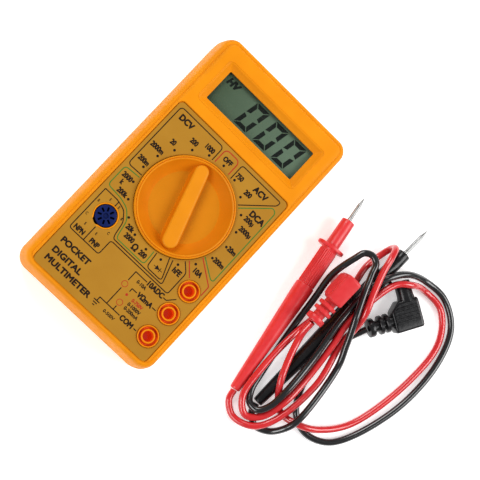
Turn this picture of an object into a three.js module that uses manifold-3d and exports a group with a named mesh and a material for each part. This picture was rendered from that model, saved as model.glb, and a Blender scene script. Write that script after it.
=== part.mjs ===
// Pocket digital multimeter lying on its back, with its two test leads beside it.
// Millimetres. Origin under the middle of the case, +X to the right of the front face,
// +Y towards the display, +Z up out of the front face.

import * as THREE from 'three';
import { mergeVertices } from 'three/addons/utils/BufferGeometryUtils.js';
import Module from 'manifold-3d';

// ---- driving dimensions ----
const GAP = 0.3; // clearance between neighbouring pieces

const CASE = { width: 70, length: 126, corner: 6.5, wall: 2, split: 12, top: 25.6, plate: 23, round: 2.6 };
const LABEL = { halfWidth: 30.2, yLow: -59.5, yHigh: 27.1, floor: 24.4, thickness: 0.4, corner: 2 };
const HOOD = { halfWidth: 26.2, yLow: 33, yHigh: 52.7 }; // upper edge of the bevel round the window
const WINDOW = { halfWidth: 23.8, yLow: 35.4, yHigh: 50.3, thickness: 1 };
const KNOB = { x: 0, y: -3.2, radius: 20.8, hole: 21.2, rimTop: 26.4, barTop: 27, floorRadius: 15.5 };
const KNOB_REST_DEG = 18; // the pointer lies this far anticlockwise of straight up at rest
const STOPS = 20; // positions of the selector
const DETENT = { ringIn: 23.2, ringOut: 25.2, ballRadius: 1.25, ballAt: 21.45, z: 20.6, bore: 1.5 };
const BOARD = { bottom: 15.9, top: 17.5, halfWidth: 31.6, yLow: -60, yHigh: 31.2, corner: 3 };
const LCD = { halfWidth: 26, yLow: 29, yHigh: 52.5, bottom: 19.6, top: 21.4 };
const JACK = { x: 24.2, collar: 4.55, groove: 4.1, sleeve: 2.9, mouth: 2.1, bore: 2, wellBottom: 13.5 };
const JACK_PLACES = [['10adc', -26.6], ['vohmma', -38.7], ['com', -50.8]];
const SOCKET = { x: -20.6, y: -27.7, radius: 4.5, hole: 4.8 };
const BATTERY = { xLow: -24.8, xHigh: 20.6, yLow: 32, yHigh: 58.4, bottom: 2.3, top: 19.1 };
const FUSE = { x: -12, y: -51, z: 11, length: 20, radius: 2.3, capRadius: 2.9, capLength: 5 };
const CASE_SCREWS = [[-29.2, 57.6], [29.2, 57.6], [-29.2, -57.2]];
const BOARD_SCREWS = [[-27.5, 24], [27.5, 24], [-27.5, -42]];

const CABLE = { radius: 1.5, sides: 8, steps: 78 };
const PROBE = { noseRadius: 3.05, nose: 13, guard: 1.6, guardWide: 6.3, guardFlat: 4.2, grip: 18.4 };
const PLUG = { thick: 8.3, back: 5.5, neck: 7.6, ahead: 4.4, behind: 8, shroud: 3.6, reach: 15.4, tail: 20 };

// Where each lead lies: the middle of its cable from the probe's rear to the plug's tail.
const RED_ROUTE = [
  [69.4, -40.2, 2.5], [70.6, -44.6, 2.3], [76.5, -48.5, 2.3], [84.8, -46.3, 4.8], [90.4, -38, 5],
  [93.8, -15, 5], [89.8, 6, 5.5], [89.5, 13, 8.2], [87.4, 19.8, 12.9], [83.6, 29, 14.4],
  [80.9, 38, 14], [79.8, 44.6, 13.2], [79.3, 49.6, 10], [79, 50, 5.6], [78.1, 45.6, 2.2],
  [76.7, 37, 1.8], [78.2, 24, 1.8], [74.6, 6, 2], [72, -8, 5], [71.4, -26, 5.7],
  [73.4, -40.2, 5.5], [79.4, -44.9, 5.1], [85.2, -40.6, 5.4], [88, -30, 7.2], [88.8, -17, 5.8],
  [87, 2, 7.7], [85.3, 13, 9.5], [89.4, 38, 10.1], [95, 43.4, 9.4], [103, 47.4, 2.6],
  [114, 46.6, 1.8], [123, 35.6, 1.8], [124.2, 14, 1.8], [117.5, -16, 1.8], [108, -27.8, 4],
  [100, -32.4, 5.2], [91, -33.6, 1.8], [80.8, -25.4, 8.3], [73.6, -5.6, 9.8], [72.6, 1.3, 13],
];
const BLACK_ROUTE = [
  [80.4, -37.9, 2.4], [81.3, -41.6, 1.8], [86, -45, 2], [92.4, -42.8, 2.4], [96.1, -37.2, 6.2],
  [97.2, -31.4, 8.4], [95.4, -4, 6.6], [91.2, 5, 9.2], [85.4, 15.5, 13.4], [81, 25.5, 13.9],
  [78.2, 34, 12.6], [76.8, 38.4, 12], [73.5, 40.1, 11.6], [70.2, 38.6, 11.1], [68.7, 34.4, 10.5],
  [66.6, 23, 8], [68.4, 11, 4.8], [70.2, -2, 2], [73.4, -27, 2], [74.9, -35.6, 3.1],
  [77.5, -39.9, 4.8], [81.6, -40.1, 6.5], [84.2, -35.6, 7.9], [84.9, -27, 9.3], [84.4, -8, 8.6],
  [81.9, 12, 10.6], [82.8, 31, 10.5], [86, 39.6, 11], [91.5, 46.2, 8.4], [101, 50.8, 2.8],
  [112, 51.2, 1.9], [123, 44, 1.8], [128.8, 28, 1.8], [127.8, 0, 1.8], [116, -28, 1.8],
  [104.5, -32.8, 1.8], [95.2, -28.4, 1.8], [89, -13, 1.8], [90.6, 6.4, 1.9], [94.35, 17.1, 4.2],
];

// ---- colours and finishes ----
const finish = (color, roughness, metalness = 0) => new THREE.MeshStandardMaterial({ color, roughness, metalness });
const YELLOW = finish(0xf9a21c, 0.5);
const OCHRE = finish(0xbb8526, 0.55);
const CLEAR = finish(0xdfe6df, 0.08);
const LCD_GREEN = finish(0x9fae9a, 0.25);
const BLUE = finish(0x1c3f94, 0.45);
const RED = finish(0xd8262c, 0.42);
const BLACK = finish(0x1a1a1c, 0.45);
const WHITE = finish(0xe8e6e0, 0.6);
const BOARD_TAN = finish(0xa9793f, 0.7);
const GREY = finish(0x6a6c70, 0.6);
const BRASS = finish(0xc9a24a, 0.3, 1);
const STEEL = finish(0xc4c6c9, 0.28, 1);
const COPPER = finish(0xb9703c, 0.35, 1);
const GLASS = finish(0xe4ecec, 0.06);

// ---- solids ----
const wasm = await Module();
wasm.setup();

// The closed solid of a three.js geometry, with its faces turned outwards.
function solid(geometry) {
  const bare = geometry.clone();
  bare.deleteAttribute('normal');
  bare.deleteAttribute('uv');
  const merged = mergeVertices(bare, 1e-4);
  const corners = merged.getAttribute('position').array;
  const kept = [];
  let volume = 0;
  for (let i = 0; i < merged.index.count; i += 3) {
    const [a, b, c] = [0, 1, 2].map((k) => merged.index.getX(i + k));
    if (a === b || b === c || c === a) continue;
    kept.push([a, b, c]);
    const [p, q, r] = [a, b, c].map((k) => new THREE.Vector3().fromArray(corners, 3 * k));
    volume += p.dot(q.cross(r));
  }
  const faces = volume < 0 ? kept.map(([a, b, c]) => [a, c, b]) : kept;
  const mesh = new wasm.Mesh({
    numProp: 3,
    vertProperties: Float32Array.from(corners),
    triVerts: Uint32Array.from(faces.flat()),
  });
  return new wasm.Manifold(mesh);
}

function geometryOf(body) {
  const { vertProperties, triVerts } = body.getMesh();
  const geometry = new THREE.BufferGeometry();
  geometry.setAttribute('position', new THREE.BufferAttribute(Float32Array.from(vertProperties), 3));
  geometry.setIndex(new THREE.BufferAttribute(Uint32Array.from(triVerts), 1));
  geometry.computeVertexNormals();
  return geometry;
}

const join = (...bodies) => bodies.reduce((whole, body) => whole.add(body));
const cut = (body, ...tools) => tools.reduce((whole, tool) => whole.subtract(tool), body);

function roundedRect(xLow, xHigh, yLow, yHigh, radius) {
  const shape = new THREE.Shape();
  shape.absarc(xHigh - radius, yHigh - radius, radius, 0, Math.PI / 2);
  shape.absarc(xLow + radius, yHigh - radius, radius, Math.PI / 2, Math.PI);
  shape.absarc(xLow + radius, yLow + radius, radius, Math.PI, 1.5 * Math.PI);
  shape.absarc(xHigh - radius, yLow + radius, radius, 1.5 * Math.PI, 2 * Math.PI);
  return shape;
}

function prism(shape, zLow, zHigh, curveSegments = 5) {
  const options = { depth: zHigh - zLow, bevelEnabled: false, curveSegments };
  return solid(new THREE.ExtrudeGeometry(shape, options).translate(0, 0, zLow));
}

function block(xLow, xHigh, yLow, yHigh, zLow, zHigh) {
  const box = new THREE.BoxGeometry(xHigh - xLow, yHigh - yLow, zHigh - zLow);
  return solid(box.translate((xLow + xHigh) / 2, (yLow + yHigh) / 2, (zLow + zHigh) / 2));
}

// A turned solid about a vertical line through (x, y). The profile lists [radius, z].
function turned(profile, sides = 24, x = 0, y = 0) {
  const points = profile.map(([radius, z]) => new THREE.Vector2(radius, z));
  return solid(new THREE.LatheGeometry(points, sides).rotateX(Math.PI / 2).translate(x, y, 0));
}

const rod = (radius, zLow, zHigh, sides = 24, x = 0, y = 0) =>
  turned([[0, zLow], [radius, zLow], [radius, zHigh], [0, zHigh]], sides, x, y);

// A round bar of the given radius along a list of points.
function cable(points, radius, sides, steps) {
  const path = new THREE.CatmullRomCurve3(points.map((point) => new THREE.Vector3(...point)));
  const section = new THREE.Shape();
  for (let i = 0; i < sides; i += 1) {
    const angle = (2 * Math.PI * i) / sides;
    const method = i === 0 ? 'moveTo' : 'lineTo';
    section[method](radius * Math.cos(angle), radius * Math.sin(angle));
  }
  return solid(new THREE.ExtrudeGeometry(section, { steps, extrudePath: path, bevelEnabled: false }));
}

const group = new THREE.Group();

function add(name, body, material, parent = group) {
  const mesh = new THREE.Mesh(geometryOf(body), material);
  mesh.name = name;
  parent.add(mesh);
  return mesh;
}

// ---- case ----
function caseOutline(inset) {
  const [x, y] = [CASE.width / 2 - inset, CASE.length / 2 - inset];
  return roundedRect(-x, x, -y, y, CASE.corner - inset);
}

// A rounded block of the case's outline, with its edges rounded at both ends.
function caseBlank(zLow, zHigh) {
  const options = {
    depth: zHigh - zLow - 2 * CASE.round, bevelThickness: CASE.round, bevelSize: CASE.round, bevelSegments: 3,
    curveSegments: 5,
  };
  const shape = caseOutline(CASE.round);
  return solid(new THREE.ExtrudeGeometry(shape, options).translate(0, 0, zLow + CASE.round));
}

const slab = (zLow, zHigh) => block(-CASE.width, CASE.width, -CASE.length, CASE.length, zLow, zHigh);

function rearCase() {
  const hollow = prism(caseOutline(CASE.wall), CASE.wall, CASE.split + 1);
  let body = cut(caseBlank(0, CASE.top), slab(CASE.split, CASE.top + 1), hollow);
  for (const [x, y] of CASE_SCREWS) {
    body = join(body, rod(3.1, 1, CASE.split, 16, x, y));
    body = cut(body, rod(1.5, -1, CASE.split + 1, 16, x, y), rod(2.6, -1, 3, 16, x, y));
  }
  const rib = block(-28, 24, 30.2, 31.4, 1, CASE.split - 1);
  return join(body, rib);
}

function jackWell(y) {
  const outer = turned([
    [0, JACK.wellBottom], [JACK.groove + 1, JACK.wellBottom], [JACK.groove + 1, LABEL.floor],
    [JACK.collar, LABEL.floor], [JACK.collar, CASE.top + 0.1], [0, CASE.top + 0.1],
  ], 24, JACK.x, y);
  const groove = turned([
    [JACK.sleeve, JACK.wellBottom + 1.2], [JACK.groove, JACK.wellBottom + 1.2], [JACK.groove, CASE.top + 1],
    [JACK.sleeve, CASE.top + 1], [JACK.sleeve, JACK.wellBottom + 1.2],
  ], 24, JACK.x, y);
  const bore = turned([
    [0, JACK.wellBottom - 1], [JACK.bore + 0.75, JACK.wellBottom - 1], [JACK.bore + 0.75, 23.9],
    [JACK.mouth, 24.4], [JACK.mouth, CASE.top + 1], [0, CASE.top + 1],
  ], 24, JACK.x, y);
  return { outer, groove, bore };
}

// The ring under the knob, with a notch for each stop of the selector.
function detentRing() {
  const zLow = DETENT.z - 2.2;
  const [inside, outside] = [DETENT.ringIn - 0.1, DETENT.ringOut];
  let ring = turned([
    [inside, zLow], [outside, zLow], [outside, CASE.plate + 0.5], [inside, CASE.plate + 0.5], [inside, zLow],
  ], 40, KNOB.x, KNOB.y);
  for (let i = 0; i < STOPS; i += 1) {
    const angle = (2 * Math.PI * i) / STOPS;
    const x = KNOB.x + DETENT.ringIn * Math.cos(angle);
    const y = KNOB.y + DETENT.ringIn * Math.sin(angle);
    ring = cut(ring, rod(0.9, zLow - 1, CASE.plate, 6, x, y));
  }
  return ring;
}

function windowBevel() {
  const upper = CASE.top + 0.01;
  const lower = CASE.plate + 0.6;
  const corner = (halfWidth, yLow, yHigh, z) => [
    [-halfWidth, yLow, z], [halfWidth, yLow, z], [halfWidth, yHigh, z], [-halfWidth, yHigh, z],
  ];
  const corners = [
    ...corner(WINDOW.halfWidth, WINDOW.yLow, WINDOW.yHigh, lower),
    ...corner(HOOD.halfWidth, HOOD.yLow, HOOD.yHigh, upper),
  ];
  const faces = [0, 2, 1, 0, 3, 2, 4, 5, 6, 4, 6, 7, 0, 1, 5, 0, 5, 4, 1, 2, 6, 1, 6, 5, 2, 3, 7, 2, 7, 6, 3, 0, 4, 3, 4, 7];
  const geometry = new THREE.PolyhedronGeometry([0, 0, 1, 1, 0, 0, 0, 1, 0, 0, 0, 0], [0, 1, 2], 1, 0);
  geometry.setAttribute('position', new THREE.Float32BufferAttribute(faces.flatMap((i) => corners[i]), 3));
  geometry.deleteAttribute('normal');
  geometry.deleteAttribute('uv');
  return solid(mergeVertices(geometry));
}

function frontCase() {
  const below = slab(-1, CASE.split + GAP);
  const hollow = prism(caseOutline(CASE.wall), CASE.split - 1, CASE.plate);
  const { halfWidth, yLow, yHigh, corner, floor } = LABEL;
  const tray = roundedRect(-halfWidth - GAP, halfWidth + GAP, yLow - GAP, yHigh + GAP, corner);
  let body = cut(caseBlank(0, CASE.top), below, hollow, prism(tray, floor, CASE.top + 1));
  body = join(body, detentRing());
  body = cut(body, rod(KNOB.hole, LABEL.floor - 5, CASE.top + 1, 40, KNOB.x, KNOB.y));
  const opening = block(
    -WINDOW.halfWidth, WINDOW.halfWidth, WINDOW.yLow, WINDOW.yHigh, CASE.plate - 1, CASE.top + 1,
  );
  body = cut(body, windowBevel(), opening);
  const keyed = rod(SOCKET.radius + 1.3, CASE.plate - 1, CASE.top - 0.1, 28, SOCKET.x, SOCKET.y);
  body = cut(join(body, keyed), rod(SOCKET.hole, CASE.plate - 2, CASE.top + 1, 28, SOCKET.x, SOCKET.y));
  for (const [, y] of JACK_PLACES) {
    const well = jackWell(y);
    body = cut(join(body, well.outer), well.groove, well.bore);
  }
  for (const [x, y] of CASE_SCREWS) {
    body = join(body, rod(3.1, CASE.split + GAP, CASE.plate + 0.5, 16, x, y));
    body = cut(body, rod(1.25, CASE.split - 1, CASE.plate - 2, 12, x, y));
  }
  for (const [x, y] of BOARD_SCREWS) {
    body = join(body, rod(2.4, BOARD.top + GAP, CASE.plate + 0.5, 16, x, y));
    body = cut(body, rod(1.05, BOARD.top, CASE.plate - 1, 12, x, y));
  }
  return body;
}

function faceplate() {
  const { halfWidth, yLow, yHigh, corner, floor, thickness } = LABEL;
  const bottom = floor + GAP;
  const sheet = prism(roundedRect(-halfWidth, halfWidth, yLow, yHigh, corner), bottom, bottom + thickness);
  const holes = JACK_PLACES.map(([, y]) => rod(JACK.collar + GAP, bottom - 1, bottom + 2, 24, JACK.x, y));
  holes.push(rod(KNOB.hole + 0.3, bottom - 1, bottom + 2, 40, KNOB.x, KNOB.y));
  holes.push(rod(SOCKET.radius + 1.3 + GAP, bottom - 1, bottom + 2, 28, SOCKET.x, SOCKET.y));
  return cut(sheet, ...holes);
}

// ---- display ----
function lcdHolder() {
  const ring = (grow) => prism(roundedRect(
    -LCD.halfWidth - grow, LCD.halfWidth + grow, LCD.yLow - grow, LCD.yHigh + grow, 1,
  ), LCD.bottom - (grow > 1 ? 0 : 1), LCD.top + (grow > 1 ? 0 : 1), 2);
  return cut(ring(1.9), ring(GAP));
}

// ---- selector ----
function knobBody() {
  const disc = turned([
    [0, BOARD.top + 2.4], [15.6, BOARD.top + 2.4], [15.6, DETENT.z - 1.9], [22.6, DETENT.z - 1.9],
    [22.6, DETENT.z + 1.9], [KNOB.radius, DETENT.z + 1.9], [KNOB.radius, KNOB.rimTop - 0.5],
    [KNOB.radius - 0.5, KNOB.rimTop], [KNOB.radius - 1.3, KNOB.rimTop], [KNOB.floorRadius, CASE.plate + 0.2],
    [0, CASE.plate + 0.2],
  ], 40);
  const bar = new THREE.Shape();
  const [half, end, tip] = [3.2, 14, 17.6];
  bar.moveTo(-half, -end);
  bar.quadraticCurveTo(-half, -tip, 0, -tip);
  bar.quadraticCurveTo(half, -tip, half, -end);
  bar.lineTo(half - 0.3, tip - 2);
  bar.quadraticCurveTo(half - 0.5, tip, 0, tip + 0.2);
  bar.quadraticCurveTo(-half + 0.5, tip, -half + 0.3, tip - 2);
  bar.lineTo(-half, -end);
  const bevel = { bevelThickness: 0.8, bevelSize: 0.8, bevelSegments: 2, curveSegments: 4 };
  const low = CASE.plate - 1;
  const raised = new THREE.ExtrudeGeometry(bar, { depth: KNOB.barTop - low - 1.6, ...bevel });
  let body = join(disc, solid(raised.translate(0, 0, low + 0.8)));
  for (const side of [-1, 1]) {
    const bore = new THREE.CylinderGeometry(DETENT.bore, DETENT.bore, 9, 16).rotateZ(Math.PI / 2);
    body = cut(body, solid(bore.translate(side * 19.5, 0, DETENT.z)));
  }
  const track = turned([[4.4, 19], [14.6, 19], [14.6, 21.4], [4.4, 21.4], [4.4, 19]], 40);
  return cut(body, track);
}

function detentSpring() {
  const turns = 5;
  const points = [];
  for (let i = 0; i <= turns * 8; i += 1) {
    const angle = (2 * Math.PI * i) / 8;
    points.push([16 + (3.6 * i) / (turns * 8), 0.95 * Math.cos(angle), 0.95 * Math.sin(angle)]);
  }
  return cable(points, 0.18, 4, turns * 8);
}

// A bent strip that bridges the contact tracks of the board.
function wiper(radius) {
  const strip = new THREE.Shape();
  const foot = BOARD.top + GAP;
  strip.moveTo(-3, foot);
  strip.lineTo(-2, foot);
  strip.lineTo(-1, 20.6);
  strip.lineTo(1, 20.6);
  strip.lineTo(2, foot);
  strip.lineTo(3, foot);
  strip.lineTo(1.2, 21);
  strip.lineTo(-1.2, 21);
  const geometry = new THREE.ExtrudeGeometry(strip, { depth: 1.6, bevelEnabled: false });
  return solid(geometry.translate(0, 0, -0.8).rotateX(Math.PI / 2).translate(0, radius, 0));
}

function addSelector() {
  const knob = new THREE.Group();
  knob.position.set(KNOB.x, KNOB.y, 0);
  knob.rotation.z = THREE.MathUtils.degToRad(KNOB_REST_DEG);
  group.add(knob);
  add('selector_knob', knobBody(), YELLOW, knob);
  const ball = solid(new THREE.SphereGeometry(DETENT.ballRadius, 10, 7).translate(DETENT.ballAt, 0, DETENT.z));
  const spring = solid(geometryOf(detentSpring()).translate(0, 0, DETENT.z));
  ['a', 'b'].forEach((letter, i) => {
    add(`detent_ball_${letter}`, ball, STEEL, knob).rotation.z = i * Math.PI;
    add(`detent_spring_${letter}`, spring, STEEL, knob).rotation.z = i * Math.PI;
  });
  [6.5, 9, 11.5].forEach((radius, i) => {
    add(`contact_wiper_${i + 1}`, wiper(radius), BRASS, knob);
    add(`contact_wiper_${i + 4}`, wiper(radius), BRASS, knob).rotation.z = Math.PI;
  });
}

// ---- inside ----
function circuitBoard() {
  const { halfWidth, yLow, yHigh, corner, bottom, top } = BOARD;
  const sheet = prism(roundedRect(-halfWidth, halfWidth, yLow, yHigh, corner), bottom, top);
  const holes = JACK_PLACES.map(([, y]) => rod(JACK.groove + 1.4, bottom - 1, top + 1, 20, JACK.x, y));
  for (const [x, y] of BOARD_SCREWS) holes.push(rod(1.3, bottom - 1, top + 1, 12, x, y));
  for (const [x, y] of CASE_SCREWS) holes.push(rod(3.7, bottom - 1, top + 1, 16, x, y));
  holes.push(rod(2, bottom - 1, top + 1, 16, KNOB.x, KNOB.y));
  return cut(sheet, ...holes);
}

function jackTube(y) {
  return turned([
    [JACK.bore, 9], [JACK.bore + 0.45, 9], [JACK.bore + 0.45, 12], [JACK.bore + 1.6, 12],
    [JACK.bore + 1.6, 13.2], [JACK.bore + 0.45, 13.2], [JACK.bore + 0.45, 23.6], [JACK.bore, 23.6],
    [JACK.bore, 9],
  ], 16, JACK.x, y);
}

function transistorSocket() {
  const { x, y, radius } = SOCKET;
  let body = turned([
    [0, BOARD.top + GAP], [radius, BOARD.top + GAP], [radius, CASE.top - 0.4], [radius - 0.3, CASE.top - 0.1],
    [2, CASE.top - 0.1], [1.7, CASE.top - 0.6], [0, CASE.top - 0.6],
  ], 28, x, y);
  for (let i = 0; i < 8; i += 1) {
    const slot = new THREE.BoxGeometry(1.5, 0.7, 4).translate(3, 0, CASE.top - 1.5);
    body = cut(body, solid(slot.rotateZ((Math.PI * (i + 0.5)) / 4).translate(x, y, 0)));
  }
  return body;
}

function screw(x, y, headZ, headRadius, shankRadius, length) {
  const body = turned([
    [0, headZ], [headRadius, headZ], [headRadius, headZ + 1.2], [shankRadius, headZ + 1.6],
    [shankRadius, headZ + length - 1], [0, headZ + length],
  ], 16, x, y);
  const [long, short] = [headRadius * 0.65, 0.25];
  return cut(
    body,
    block(x - long, x + long, y - short, y + short, headZ - 1, headZ + 0.7),
    block(x - short, x + short, y - long, y + long, headZ - 1, headZ + 0.7),
  );
}

// A turned piece lying along X under the board.
function lyingX(profile, x, y, z, sides = 16) {
  const points = profile.map(([radius, along]) => new THREE.Vector2(radius, along));
  return solid(new THREE.LatheGeometry(points, sides).rotateZ(-Math.PI / 2).translate(x, y, z));
}

function fuseCap(side) {
  const { x, y, z, length, capRadius, capLength, radius } = FUSE;
  const [outer, inner] = [length / 2 + 0.6, length / 2 + GAP];
  const wall = [
    [0, outer], [capRadius, outer], [capRadius, outer - capLength], [radius + GAP, outer - capLength],
    [radius + GAP, inner], [0, inner],
  ];
  const profile = side > 0 ? wall : wall.map(([r, along]) => [r, -along]);
  return lyingX(profile, x, y, z, 20);
}

function fuseClip(side) {
  const { x, y, z, capRadius, length } = FUSE;
  const [inner, outer] = [capRadius + GAP, capRadius + GAP + 0.5];
  const strip = new THREE.Shape();
  strip.moveTo(-outer, z - 1.5);
  strip.lineTo(-inner, z - 1.5);
  strip.lineTo(-inner, z + inner);
  strip.lineTo(inner, z + inner);
  strip.lineTo(inner, z - 1.5);
  strip.lineTo(outer, z - 1.5);
  strip.lineTo(outer, BOARD.bottom - GAP);
  strip.lineTo(-outer, BOARD.bottom - GAP);
  const geometry = new THREE.ExtrudeGeometry(strip, { depth: 4, bevelEnabled: false });
  geometry.rotateX(Math.PI / 2).rotateZ(Math.PI / 2);
  return solid(geometry.translate(x + side * (length / 2 - 2.2) - 2, y, 0));
}

function battery() {
  const { xLow, xHigh, yLow, yHigh, bottom, top } = BATTERY;
  const can = prism(roundedRect(xLow, xHigh, yLow, yHigh, 1.5), bottom, top, 3);
  const height = (bottom + top) / 2;
  const post = (y, radius) => solid(new THREE.CylinderGeometry(radius, radius, 2.4, 16)
    .rotateZ(Math.PI / 2).translate(xHigh + 0.8, y, height));
  return join(can, post(38.8, 2.9), post(51.6, 3.7));
}

function batteryClip() {
  const { xHigh, bottom, top } = BATTERY;
  const height = (bottom + top) / 2;
  const plate = block(xHigh + 2.6, xHigh + 5.2, 34.6, 56.6, height - 5.5, height + 5.5);
  return plate;
}

function addInside() {
  add('circuit_board', circuitBoard(), BOARD_TAN);
  for (const [name, y] of JACK_PLACES) add(`jack_tube_${name}`, jackTube(y), BRASS);
  const [first, , last] = JACK_PLACES.map(([, y]) => y);
  const shunt = [
    [JACK.x + 3.5, first, 10.4], [29, first - 3, 9.6], [30, (first + last) / 2, 9], [29, last + 3, 9.6],
    [JACK.x + 3.5, last, 10.4],
  ];
  add('shunt_wire', cable(shunt, 0.8, 8, 16), COPPER);
  add('transistor_socket', transistorSocket(), BLUE);
  add('fuse_glass', lyingX([
    [0, -FUSE.length / 2], [FUSE.radius, -FUSE.length / 2], [FUSE.radius, FUSE.length / 2], [0, FUSE.length / 2],
  ], FUSE.x, FUSE.y, FUSE.z, 20), GLASS);
  ['a', 'b'].forEach((letter, i) => {
    add(`fuse_cap_${letter}`, fuseCap(2 * i - 1), STEEL);
    add(`fuse_clip_${letter}`, fuseClip(2 * i - 1), BRASS);
  });
  add('battery_9v', battery(), BLACK);
  add('battery_clip', batteryClip(), BLACK);
  const clipX = BATTERY.xHigh + 3.9;
  add('battery_wire_red', cable([
    [clipX, 34.2, 12.5], [clipX, 30, 12.6], [20, 26, 13.2], [15, 22, 14.6], [14, 21, 15.2],
  ], 0.55, 6, 12), RED);
  add('battery_wire_black', cable([
    [clipX, 34.2, 9], [clipX, 29, 9], [20, 24, 9.6], [12, 19, 12.6], [10, 18, 15.2],
  ], 0.55, 6, 12), BLACK);
  add('chip_blob', turned([
    [0, BOARD.bottom - GAP], [6.5, BOARD.bottom - GAP], [6, 14.6], [4, 13.9], [0, 13.6],
  ], 20, -10, 12), BLACK);
  const trimmer = cut(block(16, 22, 6, 12, 11, BOARD.bottom - GAP), block(17, 21, 8.7, 9.3, 10, 11.8));
  add('calibration_trimmer', trimmer, BLUE);
  add('film_capacitor', block(-24, -14, -10, -6.6, 8.5, BOARD.bottom - GAP), GREY);
  add('filter_capacitor', rod(3, 9, BOARD.bottom - GAP, 20, 6, 22), BLACK);
  [-22, -27, -32].forEach((y, i) => {
    add(`resistor_${i + 1}`, lyingX([
      [0, -3.4], [0.9, -3.4], [1.2, -2.9], [1.2, -2], [0.95, -1.6], [0.95, 1.6], [1.2, 2], [1.2, 2.9],
      [0.9, 3.4], [0, 3.4],
    ], -2, y, 14, 12), OCHRE);
  });
  CASE_SCREWS.forEach(([x, y], i) => add(`case_screw_${i + 1}`, screw(x, y, 1.2, 2.3, 1, 18), STEEL));
  BOARD_SCREWS.forEach(([x, y], i) => {
    add(`board_screw_${i + 1}`, screw(x, y, 14, 2, 0.85, 7.4), STEEL);
  });
}

// ---- test leads ----
// A probe lies along the line from its nose to its rear, with the given length of tip bare.
// Local Z runs from the nose back.
function addProbe(colour, material, nose, rear, bare) {
  const front = new THREE.Vector3(...nose);
  const back = new THREE.Vector3(...rear);
  const length = front.distanceTo(back);
  const lying = new THREE.Group();
  const axis = back.clone().sub(front).normalize();
  const across = new THREE.Vector3(0, 0, 1).cross(axis).normalize();
  const upward = axis.clone().cross(across);
  lying.applyMatrix4(new THREE.Matrix4().makeBasis(across, upward, axis).setPosition(front));
  group.add(lying);
  const gripEnd = PROBE.nose + PROBE.guard + PROBE.grip;
  const handle = turned([
    [0, 0], [PROBE.noseRadius - 0.4, 0], [PROBE.noseRadius, 0.5], [PROBE.noseRadius, PROBE.nose + 0.5],
    [3.8, PROBE.nose + 0.5], [3.8, gripEnd], [4.25, gripEnd + 0.8], [4.25, gripEnd + 4],
    [2.3, length - 0.6], [2, length], [0, length],
  ], 24);
  const oval = new THREE.Shape().absellipse(0, 0, PROBE.guardWide, PROBE.guardFlat, 0, 2 * Math.PI);
  const guard = prism(oval, PROBE.nose, PROBE.nose + PROBE.guard, 10);
  const hollow = rod(1.3, -1, 8, 12);
  add(`${colour}_probe_handle`, cut(join(handle, guard), hollow), material, lying);
  add(`${colour}_probe_tip`, turned([
    [0, -bare], [0.25, 0.5 - bare], [1, 3.5 - bare], [1, 7.6], [0, 7.6],
  ], 12), STEEL, lying);
}

// A right-angle plug. Local -Z is the way it plugs in, local -Y is where its cable leaves.
function plugBody() {
  const { thick, back, neck, ahead, behind, shroud, reach, tail } = PLUG;
  const side = roundedRect(-behind, ahead, -neck, back, 1.2);
  const bevel = { bevelThickness: 0.8, bevelSize: 0.8, bevelOffset: -0.8, bevelSegments: 2, curveSegments: 3 };
  const slabShape = new THREE.ExtrudeGeometry(side, { depth: thick - 1.6, ...bevel });
  slabShape.translate(0, 0, -(thick - 1.6) / 2).rotateX(Math.PI / 2).rotateZ(Math.PI / 2);
  const along = (profile, sides) => solid(new THREE.LatheGeometry(
    profile.map(([radius, y]) => new THREE.Vector2(radius, y)), sides));
  const relief = along([
    [0, -tail], [2.3, -tail], [2.6, -behind + 0.6], [0, -behind + 0.6],
  ], 16);
  let body = join(solid(slabShape), relief);
  for (const [centre, half, radius] of [[-18.6, 1.3, 4.1], [-14.3, 0.8, 4.15], [-11.4, 0.8, 4.15]]) {
    const disc = [[0, centre - half], [radius, centre - half], [radius, centre + half], [0, centre + half]];
    body = join(body, along(disc, 20));
  }
  body = join(body, rod(shroud, -reach, -neck + 1, 28));
  return cut(body, rod(shroud - 0.75, -reach - 1, -neck - 1, 24), rod(1.4, -neck - 2, -neck + 2, 16));
}

function plugPin() {
  const { reach, neck } = PLUG;
  return turned([
    [0, -reach + 0.8], [1.5, -reach + 1.2], [1.9, -reach + 2.4], [1.9, -reach + 4.6], [1.5, -neck - 2],
    [1.1, -neck - 1.4], [1.1, -neck + 1.7], [0, -neck + 1.7],
  ], 16);
}

function addPlug(colour, material, place, forward, down) {
  const lying = new THREE.Group();
  const y = new THREE.Vector3(...forward).normalize();
  const z = new THREE.Vector3(...down).normalize().negate();
  const x = y.clone().cross(z).normalize();
  lying.applyMatrix4(new THREE.Matrix4().makeBasis(x, y, x.clone().cross(y)).setPosition(...place));
  group.add(lying);
  add(`${colour}_plug_body`, plugBody(), material, lying);
  add(`${colour}_plug_pin`, plugPin(), BRASS, lying);
}

function addLeads() {
  addProbe('red', RED, [57, 45, 5.72], [69.4, -39.9, 2.35], 12.2);
  addProbe('black', BLACK, [84.6, 52, 5.72], [80.4, -37.3, 2.35], 14.3);
  const lean = THREE.MathUtils.degToRad(8);
  const standing = [0, Math.sin(lean), -Math.cos(lean)];
  addPlug('red', RED, [72.6, 21.8, 15.9], [0, Math.cos(lean), Math.sin(lean)], standing);
  addPlug('black', BLACK, [105, 34.8, 4.2], [0.518, 0.855, 0], [-0.855, 0.518, 0]);
  add('red_cable', cable(RED_ROUTE, CABLE.radius, CABLE.sides, CABLE.steps), RED);
  add('black_cable', cable(BLACK_ROUTE, CABLE.radius, CABLE.sides, CABLE.steps), BLACK);
}

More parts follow.
